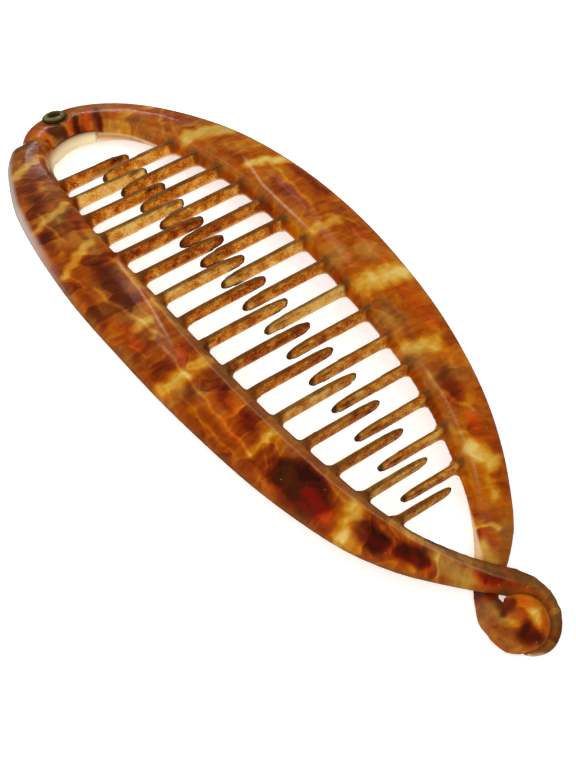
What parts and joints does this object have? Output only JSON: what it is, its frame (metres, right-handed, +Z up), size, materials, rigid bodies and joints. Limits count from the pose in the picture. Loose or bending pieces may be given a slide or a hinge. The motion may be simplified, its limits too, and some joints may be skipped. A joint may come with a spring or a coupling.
{
  "type": "hair clip",
  "caption": "Long bowed hair clip: two toothed plastic arms swing on one brass rivet and hook together at the other end.",
  "frame": {"origin": "middle of the closed clip's footprint, on the surface that it lies on", "axes": "+X from the hinge to the clasp, +Y from the front comb to the rear comb, +Z up, away from the head"},
  "size_m": [0.1498, 0.0553, 0.0178],
  "materials": {
    "front_tortoiseshell": "polished translucent mottled brown and amber",
    "rear_tortoiseshell": "polished translucent mottled brown and amber",
    "rivet_brass": "dull aged brass"
  },
  "bodies": {
    "front": {"front_comb": "front_tortoiseshell", "hinge_rivet": "rivet_brass"},
    "rear": {"rear_comb": "rear_tortoiseshell"}
  },
  "joints": [
    {"name": "hinge", "type": "hinge", "parent": "front", "child": "rear", "pos_m": [-0.07126, 0.0003, 0.00483], "axis": [-0.3389, 0, 0.9408], "range_deg": [0, 75]}
  ]
}
